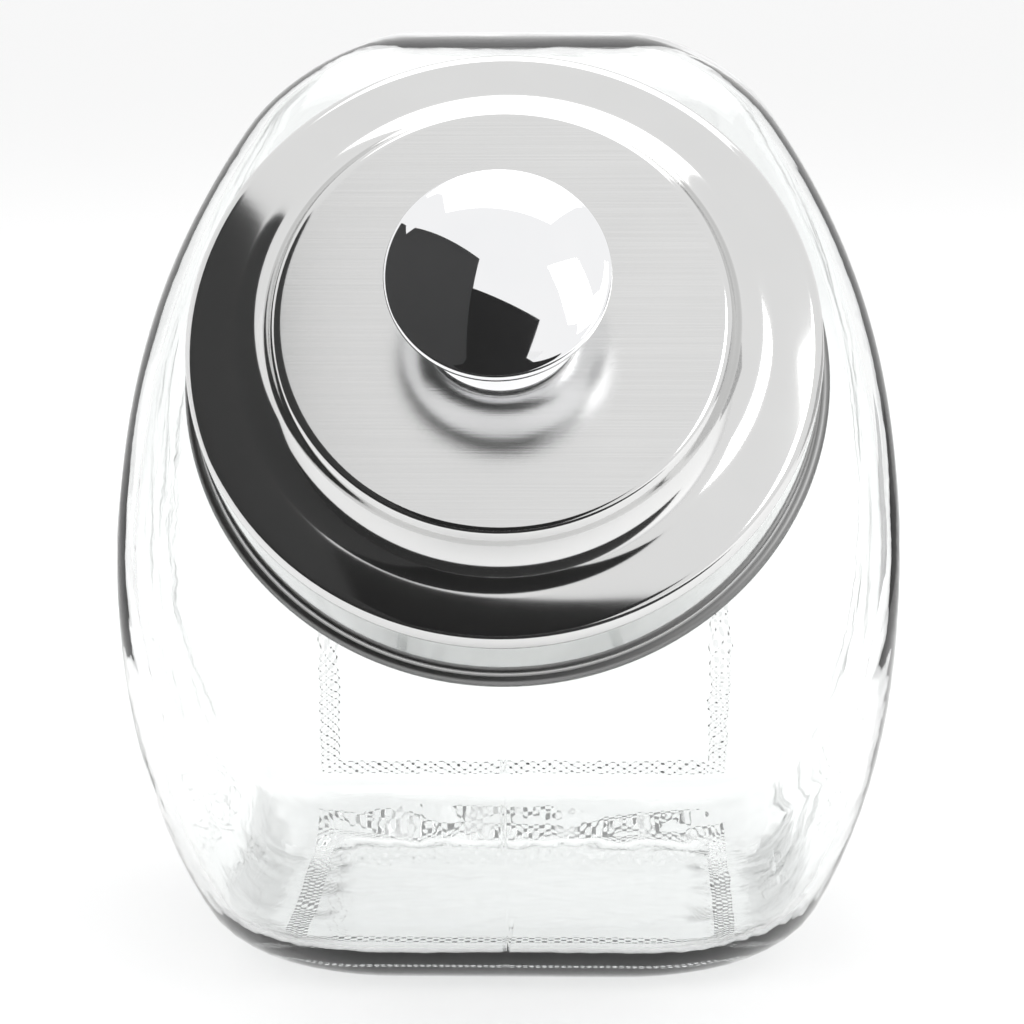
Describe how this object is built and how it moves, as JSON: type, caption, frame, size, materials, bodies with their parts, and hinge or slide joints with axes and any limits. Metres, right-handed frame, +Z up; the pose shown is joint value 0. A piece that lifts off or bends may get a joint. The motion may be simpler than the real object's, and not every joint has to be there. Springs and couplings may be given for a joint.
{
  "type": "lidded glass canister",
  "caption": "Glass canister: square bulging jar with a sloping round mouth, closed by a stepped metal lid with a seal and a mushroom knob; the lid lifts off and turns.",
  "frame": {"origin": "under the middle of the whole canister, in the plane of the base it stands on", "axes": "+Z up, +Y out of the flat back, the mouth and lid facing -Y and up"},
  "size_m": [0.18, 0.1782, 0.2139],
  "materials": {
    "glass": "clear, smooth",
    "satin_steel": "satin brushed top, polished slope",
    "chrome": "mirror",
    "silicone": "matte, translucent white",
    "clear_plastic": "clear, soft",
    "zinc_steel": "zinc plated"
  },
  "bodies": {
    "jar": {"jar": "glass"},
    "seal": {"lid_seal": "silicone"},
    "lid": {"lid_shell": "satin_steel", "knob": "chrome", "knob_pad": "clear_plastic", "flat_washer": "zinc_steel", "lock_washer": "zinc_steel", "knob_screw": "zinc_steel"}
  },
  "joints": [
    {"name": "lid_lift", "type": "slide", "parent": "jar", "child": "seal", "axis": [0, -0.8686, 0.4955], "range_m": [0, 0.12]},
    {"name": "lid_turn", "type": "hinge", "parent": "seal", "child": "lid", "pos_m": [0, -0.02219, 0.1382], "axis": [0, -0.8686, 0.4955], "continuous": true}
  ]
}
